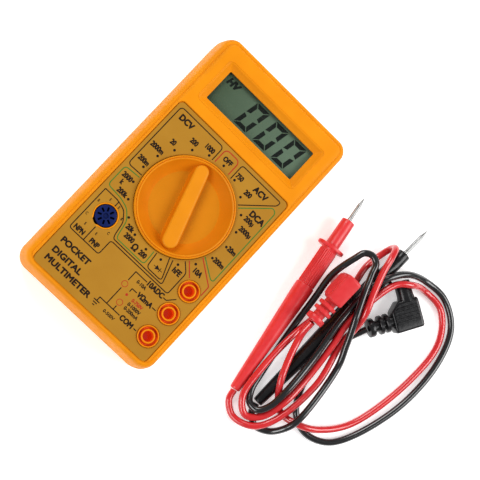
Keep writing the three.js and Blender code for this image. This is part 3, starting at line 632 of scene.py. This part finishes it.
# Words of other sizes: words, x, y, height of the capitals, width factor, stroke weight.
SIZED_WORDS = [
    ("OFF", 0, 22.3, 2.1, 0.86, 0.16), ("hFE", 15.2, -24.4, 2.4, 0.8, 0.16),
    ("10A", 21.5, -18.9, 2.3, 0.8, 0.16), ("Ω", -3.7, -29.0, 2.7, 0.95, 0.18),
    ("NPN", -24.5, -38.8, 2.2, 0.8, 0.15), ("PNP", -16.5, -38.8, 2.2, 0.8, 0.15),
    ("10ADC", 13.7, -35.4, 2.3, 0.88, 0.16), ("COM", 13.9, -52.6, 2.3, 0.88, 0.16),
    ("VΩmA", 13.5, -41.4, 2.2, 0.88, 0.16),
]
LIMIT_WORDS = [
    ("0-10A", 8.4, -37.9, 1.5, 0.9, 0.08), ("0-1000V", 12.6, -46.8, 1.5, 0.9, 0.08),
    ("0-200mA", 12.9, -48.9, 1.5, 0.9, 0.08), ("0-500V", 6.9, -55.3, 1.4, 1.0, 0.06),
]
# The three words of the title: words, y, right end.
TITLE_LEFT = -26.9
TITLE_WORDS = [("DIGITAL", -51.0, -12.4), ("MULTIMETER", -55.2, -3.9), ("POCKET", -46.0, -12.6)]
# Printed lines: the points of each, and the radius of its corners.
DARK_LINES = [
    ([(-5.1, 18.3), (-5.1, 25.2), (-28.5, 25.2), (-28.5, -6.4), (-21.4, -6.1)], 1.8),
    ([(5.5, 18.1), (5.5, 25.4), (27.2, 25.4), (27.0, 23.4), (15.0, 12.5)], 1.3),
    ([(-28.1, -19.9), (-21.4, -19.9), (-17, -21.1), (-13.9, -24.8), (-12.9, -30.6), (-12.2, -32.2),
      (14.3, -32.2), (10.9, -22.0)], 1.4),
    ([(-28.1, -19.9), (-28.1, -40.7), (-12.4, -40.7), (-12.4, -33.4), (18.4, -33.3), (18.4, -22.3),
      (14.8, -18.9)], 1.2),
    ([(4.2, -24.4), (5.0, -31.2), (13.0, -31.2), (9.3, -22.2)], 1.6),
    ([(-20.6, -20.0), (-20.6, -22.6)], 0),
    ([(-20.6, -33.6), (-20.6, -40.7)], 0),
    ([(9.3, -35.5), (3.2, -35.5), (3.2, -40.0)], 0.1),
    ([(3.2, -44.0), (3.2, -52.5)], 0),
    ([(18.2, -35.5), (19.8, -35.5), (22.6, -32.4)], 0.3),
    ([(9.2, -41.4), (6.7, -41.4), (6.7, -43.0)], 0.1),
    ([(17.6, -41.4), (19.5, -41.4)], 0),
    ([(10.2, -52.5), (-0.4, -52.5), (-0.4, -54.3)], 0.1),
    ([(6.7, -52.4), (6.7, -50.5)], 0),
    ([(17.8, -52.5), (19.2, -52.5)], 0),
    ([(-1.9, -54.4), (1.1, -54.4)], 0),
    ([(-1.4, -55.4), (0.6, -55.4)], 0),
    ([(-0.9, -56.4), (0.1, -56.4)], 0),
]
RED_LINES = [
    ([(-3.75, 18.6), (-3.75, 25.6), (3.75, 25.6), (3.75, 18.6)], 2.2),
    ([(15.9, -17.6), (20.6, -22.6)], 0),
    ([(19.0, -12.9), (28.8, -19.9), (28.8, -24.6)], 0.6),
]
GREEN_LINES = [
    ([(15.9, 11.6), (26.6, 21.7), (28.6, 20.6), (28.6, -17), (27.3, -17.2), (19.4, -12.0)], 1.2),
    ([(-21.4, -7.4), (-28.5, -7.9), (-28.5, -18.0), (-21, -18.5), (-16.6, -19.8), (-13.2, -23.4),
      (-11.9, -30), (-11.2, -31.2), (3.4, -31.2), (3.0, -24.8)], 1.6),
]
LINE_WIDTH = 0.42
STOP_DOT = 0.56


def diode_mark(x, y):
    """The schematic symbol of a diode."""
    half = 1.0
    triangle = [(x - half, y - half), (x - half, y + half), (x + half, y)]
    rings = [[(px, py, PRINT_Z + side) for px, py in triangle] for side in (-PRINT_THICK, PRINT_THICK)]
    return [
        skin("mark", rings, PRINT_DARK),
        ribbon([(x + half, y - half), (x + half, y + half)], 0.28, PRINT_DARK),
        ribbon([(x - 2.1, y), (x - half, y)], 0.25, PRINT_DARK),
        ribbon([(x + half + 0.15, y), (x + 2.2, y)], 0.25, PRINT_DARK),
    ]


def build_print():
    """Everything printed on the label, as one piece for each colour."""
    dark = [words(text, x, y, 2.2, PRINT_DARK, 0.76, 0.15) for text, x, y in RANGE_WORDS]
    dark += [words(text, x, y, 2.6, PRINT_DARK, 0.95, 0.2) for text, x, y in GROUP_WORDS]
    dark += [words(text, x, y, 1.2, PRINT_DARK, 0.8, 0.04) for text, x, y in SOCKET_WORDS]
    for text, x, y, cap, wide, weight in SIZED_WORDS + LIMIT_WORDS:
        dark.append(words(text, x, y, cap, PRINT_DARK, wide, weight))
    for text, y, right_end in TITLE_WORDS:
        dark.append(words(text, TITLE_LEFT, y, 2.5, PRINT_DARK, 1.0, 0.18, right_end=right_end))
    for i in range(STOPS):
        angle = math.pi / 2 - 2 * math.pi * i / STOPS
        x = KNOB[0] + STOP_RADIUS * math.cos(angle)
        y = KNOB[1] + STOP_RADIUS * math.sin(angle)
        dark.append(dot(x, y, STOP_DOT, PRINT_DARK))
    dark += diode_mark(8.7, -28.6)
    dark += [ribbon(points, LINE_WIDTH, PRINT_DARK, radius) for points, radius in DARK_LINES]
    red = [ribbon(points, LINE_WIDTH, PRINT_RED, radius) for points, radius in RED_LINES]
    red += [words("0-750V", 12.4, -44.7, 1.5, PRINT_RED, 0.9, 0.08)]
    red += [hoop(3.2, -42.0, 1.25, 0.25, PRINT_RED), hoop(6.7, -48.7, 1.25, 0.25, PRINT_RED)]
    red += [dot(6.7, -44.6, 0.55, PRINT_RED)]
    green = [ribbon(points, LINE_WIDTH, PRINT_GREEN, radius) for points, radius in GREEN_LINES]
    for name, pieces in (("print_dark", dark), ("print_red", red), ("print_green", green)):
        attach(joined(name, pieces), "meter")


# ---- display ----
def build_display():
    """The display's panel, the pane over it, and the three noughts and two letters it shows."""
    panel = skin("lcd_glass", [
        rect_ring(grown(LCD_BOX, -0.2), 0.3, 19.6, 2), rect_ring(LCD_BOX, 0.4, 19.8, 2),
        rect_ring(LCD_BOX, 0.4, LCD_TOP - 0.2, 2), rect_ring(grown(LCD_BOX, -0.2), 0.3, LCD_TOP, 2),
    ], LCD)
    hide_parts("lcd_panel")
    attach(panel, "meter")
    pane_box = (WINDOW[0] - 1.8, WINDOW[1] + 1.8, WINDOW[2] - 2, WINDOW[3] + 2)
    pane = skin("window_pane", [
        rect_ring(grown(pane_box, -0.15), 0.4, 21.7, 3), rect_ring(pane_box, 0.5, 21.85, 3),
        rect_ring(pane_box, 0.5, 22.55, 3), rect_ring(grown(pane_box, -0.15), 0.4, 22.7, 3),
    ], PANE)
    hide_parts("display_window")
    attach(pane, "meter")
    pieces = []
    for left in DIGITS_LEFT:
        pieces += digit_zero(left, 36.8, 7.1, 12.7)
    pieces.append(words("HV", -19.6, 47.6, 3.0, SEGMENT, 1.0, 0.32, LCD_TOP + 0.02, 0.25))
    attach(joined("lcd_segments", pieces), "meter")


def digit_zero(left, low, width, height):
    """A nought out of six slanted segments with mitred ends."""
    thick, gap, slant = 1.8, 0.24, 0.2
    mid = height / 2
    outlines = [
        [(gap, height), (width - gap, height), (width - thick - gap, height - thick),
         (thick + gap, height - thick)],
        [(gap, 0), (thick + gap, thick), (width - thick - gap, thick), (width - gap, 0)],
    ]
    for low_edge, high_edge, inner_low, inner_high in (
        (gap, mid - 0.35, thick + gap, mid - 1.0),
        (mid + 0.35, height - gap, mid + 1.0, height - thick - gap),
    ):
        inner = width - thick
        outlines.append([(0, low_edge), (0, high_edge), (thick, inner_high), (thick, inner_low)])
        outlines.append([(width, low_edge), (inner, inner_low), (inner, inner_high), (width, high_edge)])
    pieces = []
    for outline in outlines:
        shifted = [(left + x + slant * (y - mid), low + y) for x, y in outline]
        rings = [[(x, y, LCD_TOP + z) for x, y in shifted] for z in (0.005, 0.035)]
        pieces.append(skin("segment", rings, SEGMENT))
    return pieces


# ---- selector knob ----
def capsule(tail, tip, z, grow):
    """A bar outline along Y, round at both ends: tail and tip are (y, radius)."""
    (tail_y, tail_r), (tip_y, tip_r) = tail, tip
    steps = 14
    points = []
    for i in range(steps + 1):
        angle = math.pi * i / steps
        points.append(((tip_r + grow) * math.cos(angle), tip_y + (tip_r + grow) * math.sin(angle), z))
    for i in range(steps + 1):
        angle = math.pi + math.pi * i / steps
        points.append(((tail_r + grow) * math.cos(angle), tail_y + (tail_r + grow) * math.sin(angle), z))
    return points


def build_knob():
    """The dished knob with its rim groove and its bar, in three tones: its own yellow, painted shade on the
    dish wall and the bar's lower sides, and painted shade on the dish floor.
    """
    turn = Matrix.Translation((KNOB[0], KNOB[1], 0)) @ Matrix.Rotation(KNOB_REST, 4, "Z")
    dish = turned("selector_dish", [
        (0, 19.8), (15.6, 19.8), (KNOB_RADIUS - 0.2, 22.4), (KNOB_RADIUS, 22.7), (KNOB_RADIUS, 25.7),
        (20.7, 26.0), (20.5, 26.2), (20.32, 26.24), (20.18, 26.12), (20.1, 25.95), (20.04, 25.75),
        (19.9, 25.75), (19.84, 25.95), (19.7, 26.15), (19.5, 26.22), (19.3, 26.1), (19.1, 25.8),
        (18.4, 25.15), (16.6, 23.75), (15.4, 22.95), (14.9, 22.7), (14.6, 22.6), (14.3, KNOB_FLOOR),
        (8, KNOB_FLOOR + 0.03), (0, KNOB_FLOOR + 0.05),
    ], KNOB_YELLOW, sides=128, matrix=turn)
    tail, tip = (-14.5, 3.25), (15.4, 2.85)
    steps = [
        (21.8, 1.2), (22.7, 0.9), (23.2, 0.6), (24.0, 0.4), (26.1, 0.12), (26.55, -0.02), (26.8, -0.25),
        (26.92, -0.6), (26.94, -1.2),
    ]
    bar = skin("bar", [capsule(tail, tip, z, grow) for z, grow in steps], KNOB_YELLOW, turn)
    knob = combine(dish, "UNION", bar)
    knob.name = "selector_knob_body"
    knob.data.materials.append(KNOB_WALL_SHADE)
    knob.data.materials.append(KNOB_FLOOR_SHADE)
    floor_top = KNOB_FLOOR + 0.08
    # Painted shade: faces of the dish wall and the bar's lower sides take the wall's shade, faces of the dish
    # floor the floor's shade.
    for face in knob.data.polygons:
        away = math.hypot(face.center.x / MM - KNOB[0], face.center.y / MM - KNOB[1])
        height = face.center.z / MM
        if away < KNOB_WALL_RADIUS and floor_top < height < KNOB_WALL_TOP:
            face.material_index = 1
        elif away < KNOB_FLOOR_RADIUS and KNOB_INSIDE_TOP < height < floor_top:
            face.material_index = 2
    smooth(knob, 30)
    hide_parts("selector_knob")
    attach(knob, "selector")


# ---- transistor socket ----
def build_socket():
    """The transistor socket with its eight contact slots, and a keyed collar round it."""
    radius = SOCKET_RADIUS - 0.1
    body = turned("socket_body", [
        (0, 18), (radius, 18), (radius, 24.9), (radius - 0.15, 25.15), (radius - 0.45, 25.25), (1.3, 25.3),
        (1.15, 25.2), (1.1, 24.6), (0, 24.6),
    ], SOCKET_BLUE, SOCKET, 64)
    tools = []
    for i in range(SOCKET_SLOTS):
        angle = 2 * math.pi * (i + 0.5) / SOCKET_SLOTS
        spin = Matrix.Translation((*SOCKET, 0)) @ Matrix.Rotation(angle, 4, "Z")
        outline = [(x, y) for x, y, _ in rect_ring((1.75, 3.55, -0.42, 0.42), 0.2, 0, 3)]
        tools.append(skin("tool", [[(x, y, z) for x, y in outline] for z in (23.2, 27)], SOCKET_DARK, spin))
    combine(body, "DIFFERENCE", *tools)
    smooth(body, 30)
    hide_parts("transistor_socket")
    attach(body, "meter")
    sides = 72
    profile = [(5.3, 18), (5.3, 24.9), (5.22, 25.02), (5.05, 25.06), (4.85, 25.0), (4.72, 24.7), (4.72, 18)]
    rings = []
    for radius, z in profile:
        rise, width = (1.25, 0.42) if radius < 5.2 else (0.85, 0.5)
        ring = []
        for i in range(sides):
            angle = 2 * math.pi * i / sides
            off = math.atan2(math.sin(angle - SOCKET_KEY), math.cos(angle - SOCKET_KEY))
            reach = radius + rise * max(0, 1 - abs(off) / width)
            ring.append((SOCKET[0] + reach * math.cos(angle), SOCKET[1] + reach * math.sin(angle), z))
        rings.append(ring)
    collar = skin("socket_collar", rings, YELLOW, closed=True)
    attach(collar, "meter")


# ---- test leads ----
def route_points(route, count):
    """Points along a centripetal Catmull-Rom curve through the route."""
    knots = [Vector(p) for p in route]
    knots = [knots[0] * 2 - knots[1]] + knots + [knots[-1] * 2 - knots[-2]]
    spans = len(route) - 1
    points = []
    for k in range(count):
        at = min(spans * k / (count - 1), spans - 1e-9)
        i, w = int(at), at - int(at)
        a, b, c, d = knots[i:i + 4]
        first, mid, last = ((q - p).length ** 0.5 for p, q in ((a, b), (b, c), (c, d)))
        start = ((b - a) / first - (c - a) / (first + mid) + (c - b) / mid) * mid
        end = ((c - b) / mid - (d - b) / (mid + last) + (d - c) / last) * mid
        square = c * 3 - b * 3 - start * 2 - end
        cube = b * 2 - c * 2 + start + end
        points.append(b + start * w + square * w ** 2 + cube * w ** 3)
    return points


def build_cable(name, route, material):
    """A round cable as a curve of one open spline."""
    points = route_points(route, CABLE_POINTS)
    curve = bpy.data.curves.new(name, "CURVE")
    curve.dimensions = "3D"
    curve.bevel_depth = CABLE_RADIUS * MM
    curve.bevel_resolution = 4
    curve.use_fill_caps = True
    spline = curve.splines.new("POLY")
    spline.points.add(len(points) - 1)
    for point, place in zip(spline.points, points):
        point.co = (*(place * MM), 1)
    spline.use_smooth = True
    curve.materials.append(material)
    cable = bpy.data.objects.new(name, curve)
    bpy.context.scene.collection.objects.link(cable)
    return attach(cable, "meter")


def probe_frame(nose, rear):
    """Local Z runs from the probe's nose to its rear."""
    front, back = Vector(nose), Vector(rear)
    axis = (back - front).normalized()
    painted_light_across = Vector((0, 0, 1)).cross(axis).normalized()
    turn = Matrix((painted_light_across, axis.cross(painted_light_across), axis)).transposed().to_4x4()
    return Matrix.Translation(front) @ turn, (back - front).length


GUARD_HALF = (6.3, 4.2)
GRIP = (15.9, 32.3)
RIDGES = 26
RIDGE_RISE = 0.2


def probe_radius(step, angle):
    """Radius at one step of the handle: a plain radius, the ridges of the grip, or the oval guard."""
    kind, value = step
    if kind == "ridge":
        return value + RIDGE_RISE * math.cos(RIDGES * angle)
    if kind == "guard":
        wide, flat = (half - value for half in GUARD_HALF)
        return wide * flat / math.hypot(flat * math.cos(angle), wide * math.sin(angle))
    return value


def build_probe(colour, material, nose, rear, bare):
    """A probe's handle and its needle, of which the length bare stands out of the nose."""
    place, length = probe_frame(nose, rear)
    grip_low, grip_high = GRIP
    profile = [
        (0, ("plain", 1.2)), (0, ("plain", 2.5)), (0.12, ("plain", 2.8)), (0.5, ("plain", 2.98)),
        (4, ("plain", 3.02)), (12.3, ("plain", 3.1)), (12.85, ("plain", 3.35)), (13, ("plain", 3.7)),
        (13.02, ("guard", 0.3)),
        (13.2, ("guard", 0.05)), (13.5, ("guard", 0)), (14.2, ("guard", 0)), (14.45, ("guard", 0.08)),
        (14.6, ("guard", 0.35)), (14.7, ("plain", 3.95)), (15.1, ("plain", 3.72)), (15.5, ("plain", 3.62)),
        (grip_low, ("ridge", 3.62)), (grip_high, ("ridge", 3.66)), (32.7, ("plain", 3.66)),
        (33, ("plain", 3.95)), (33.2, ("plain", 4.15)), (33.6, ("plain", 4.22)), (37, ("plain", 4.22)),
        (length - 1.2, ("plain", 2.33)), (length - 0.4, ("plain", 2.25)), (length, ("plain", 1.95)),
    ]
    sides = RIDGES * 8
    rings = []
    for along, step in profile:
        ring = []
        for i in range(sides):
            angle = 2 * math.pi * i / sides
            radius = probe_radius(step, angle)
            ring.append((radius * math.cos(angle), radius * math.sin(angle), along))
        rings.append(ring)
    handle = skin(f"{colour}_probe_grip", rings, material, place, 32)
    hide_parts(f"{colour}_probe_handle")
    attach(handle, "meter")
    tip = turned(f"{colour}_probe_needle", [
        (0, -bare), (0.12, 0.25 - bare), (0.3, 0.9 - bare), (0.72, 3.1 - bare), (0.86, 3.6 - bare),
        (0.9, 4.2 - bare), (0.9, -1.3), (1.0, -1.1), (1.0, 0.8), (0, 0.8),
    ], STEEL, sides=32, matrix=place)
    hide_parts(f"{colour}_probe_tip")
    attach(tip, "meter")
    return [handle, tip]


PLUG_HALF = 3.65
PLUG_LOW = -7.6
PLUG_HIGH = 5.5
PLUG_CORNER = 1.0
RIBS = 6
RIB_LOW = -6.5
RIB_PITCH = 1.5
RIB_RISE = 0.5
# One rib from its foot upwards: how far along, and its share of the full rise.
RIB_SHAPE = ((0, 0), (0.14, 0.85), (0.26, 1), (0.74, 1), (0.86, 0.85), (1.0, 0))


def plug_section(y, inset, ribs, low):
    """The outline of the plug's body across its cable axis, with grip ribs on both sides if ribs is 1."""
    half, low, high, corner = PLUG_HALF - inset, low + inset, PLUG_HIGH - inset, PLUG_CORNER
    side = [(half, low + corner)]
    for i in range(RIBS):
        foot = RIB_LOW + i * RIB_PITCH
        for ahead, share in RIB_SHAPE:
            side.append((half + ribs * RIB_RISE * share, max(foot + ahead, low + corner)))
    side.append((half, high - corner))
    top, bottom = [], []
    for angle in (math.radians(30), math.radians(60), math.radians(90)):
        x = half - corner * (1 - math.cos(angle))
        cut = corner * (1 - math.sin(angle))
        top.append((x, high - cut))
        bottom.insert(0, (x, low + cut))
    right = bottom + side + top
    left = [(-x, z) for x, z in reversed(right)]
    return [(x, y, z) for x, z in right + left]


def build_plug(colour, material, place, forward, down):
    """A right-angle plug: its ribbed body, the shroud of its pin, and the strain relief on its cable."""
    y_axis = Vector(forward).normalized()
    z_axis = -Vector(down).normalized()
    x_axis = y_axis.cross(z_axis).normalized()
    turn = Matrix((x_axis, y_axis, x_axis.cross(y_axis))).transposed().to_4x4()
    frame_here = Matrix.Translation(Vector(place)) @ turn
    stations = [
        (-8.9, 0.9, 0, -4.6), (-8.7, 0.4, 0, -4.5), (-8.4, 0.1, 0, -4.5), (-8.0, 0, 0, -4.7),
        (-7.7, 0, 1, -5.0), (-5.1, 0, 1, PLUG_LOW), (2.9, 0, 1, PLUG_LOW), (3.3, 0, 0, PLUG_LOW),
        (3.7, 0.08, 0, PLUG_LOW), (4.1, 0.35, 0, PLUG_LOW), (4.4, 1.0, 0, PLUG_LOW),
    ]
    sections = [plug_section(*station) for station in stations]
    body = skin(f"{colour}_plug_shell", sections, material, frame_here)
    shroud = turned("shroud", [
        (0, -6.5), (3.9, -6.5), (3.75, -8.2), (3.6, -9.2), (3.56, -15.1), (3.4, -15.38), (3.15, -15.4),
        (2.95, -15.2), (2.85, -14.8), (2.85, -8.7), (0, -8.7),
    ], material, sides=48, matrix=frame_here)
    relief = turned("relief", [
        (0, -20), (3.6, -20), (3.95, -19.85), (4.1, -19.5), (4.1, -17.8), (3.95, -17.5), (3.6, -17.35),
        (2.55, -17.2), (2.5, -15.3), (3.7, -15.15), (4.0, -15.05), (4.15, -14.85), (4.15, -13.75),
        (4.0, -13.55), (3.7, -13.45), (2.6, -13.3), (2.6, -12.4), (3.7, -12.25), (4.0, -12.15),
        (4.15, -11.95), (4.15, -10.85), (4.0, -10.65), (3.7, -10.55), (2.7, -10.4), (2.8, -7.2), (0, -7.2),
    ], material, sides=48, matrix=frame_here @ Matrix.Rotation(-math.pi / 2, 4, "X"))
    combine(body, "UNION", shroud, relief)
    smooth(body, 32)
    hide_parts(f"{colour}_plug_body")
    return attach(body, "meter")


def build_leads():
    """Both test leads: probe, cable and plug."""
    lean_down = (0, math.sin(PLUG_LEAN), -math.cos(PLUG_LEAN))
    lean_ahead = (0, math.cos(PLUG_LEAN), math.sin(PLUG_LEAN))
    leads = (
        ("red", RED, RED_CABLE, RED_ROUTE, ((57, 45, 5.72), (69.4, -39.9, 2.35), 12.2),
         ((72.6, 21.8, 15.9), lean_ahead, lean_down)),
        ("black", BLACK, BLACK_CABLE, BLACK_ROUTE, ((84.6, 52, 5.72), (80.4, -37.3, 2.35), 14.3),
         ((105, 34.8, 4.2), (0.518, 0.855, 0), (-0.855, 0.518, 0))),
    )
    for (colour, material, cable_material, route, probe, plug), length in zip(leads, CABLE_LENGTHS_M):
        pieces = build_probe(colour, material, *probe)
        pieces.append(build_plug(colour, material, *plug))
        pieces.append(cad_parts[f"{colour}_plug_pin"])
        cable = build_cable(f"{colour}_lead", route, cable_material)
        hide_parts(f"{colour}_cable")


# ---- materials of the CAD pieces that show as they are ----
NODE_MATERIALS = {
    "detent_ball": STEEL, "detent_spring": STEEL, "contact_wiper": BRASS, "plug_pin": BRASS,
    "fuse_cap": STEEL, "fuse_clip": BRASS, "fuse_glass": PANE, "case_screw": STEEL, "board_screw": STEEL,
    "shunt_wire": COPPER, "circuit_board": BOARD_TAN, "battery_9v": BLACK, "battery_clip": BLACK,
    "battery_wire_red": RED, "battery_wire_black": BLACK, "chip_blob": BLACK,
    "calibration_trimmer": SOCKET_BLUE, "film_capacitor": GREY, "filter_capacitor": BLACK,
    "resistor": TAN, "lcd_holder": WHITE, "zebra_strip": GREY,
}


def finish_cad_nodes():
    """Gives the CAD pieces their materials through their own slots."""
    for name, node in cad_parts.items():
        for part, material in NODE_MATERIALS.items():
            if part in name:
                for slot in node.material_slots:
                    slot.material = material


# ---- floor and light ----
# The floor lies just below the table height, so that nothing resting on it shares its plane.
FLOOR_Z = -0.02
FLOOR_HALF = 3000
WORLD_LIGHT = 0.3
LIGHT_AIM = (30, 0, 0)
# Soft lamps: name, place, width and depth in metres, power in watts.
LIGHTS = (
    ("key", (640, 380, 640), (0.6, 0.6), 7.4), ("fill", (-560, 420, 560), (0.35, 0.35), 3.4),
    ("low", (-300, -700, 600), (0.6, 0.3), 4.4),
)


def build_stage():
    """A plain pale floor and soft light from three sides."""
    corners = [(x * FLOOR_HALF, y * FLOOR_HALF, FLOOR_Z) for x, y in ((-1, -1), (1, -1), (1, 1), (-1, 1))]
    make_object("floor", corners, [(0, 1, 2, 3)], FLOOR)
    world = bpy.data.worlds.new("studio")
    bpy.context.scene.world = world
    world.use_nodes = True
    world.node_tree.nodes["Background"].inputs["Color"].default_value = (1, 1, 1, 1)
    world.node_tree.nodes["Background"].inputs["Strength"].default_value = WORLD_LIGHT
    for name, place, size_m, power in LIGHTS:
        data = bpy.data.lights.new(name, "AREA")
        data.shape = "RECTANGLE"
        data.size, data.size_y = size_m
        data.energy = power
        lamp = bpy.data.objects.new(name, data)
        bpy.context.scene.collection.objects.link(lamp)
        aim = Vector(LIGHT_AIM) - Vector(place)
        lamp.rotation_euler = aim.to_track_quat("-Z", "Y").to_euler()
        lamp.location = Vector(place) * MM
    bpy.context.scene.view_settings.view_transform = "Standard"


build_leads()
build_front_case()
build_rear_case()
build_jacks()
build_label()
build_print()
build_display()
build_knob()
build_socket()
finish_cad_nodes()
build_stage()
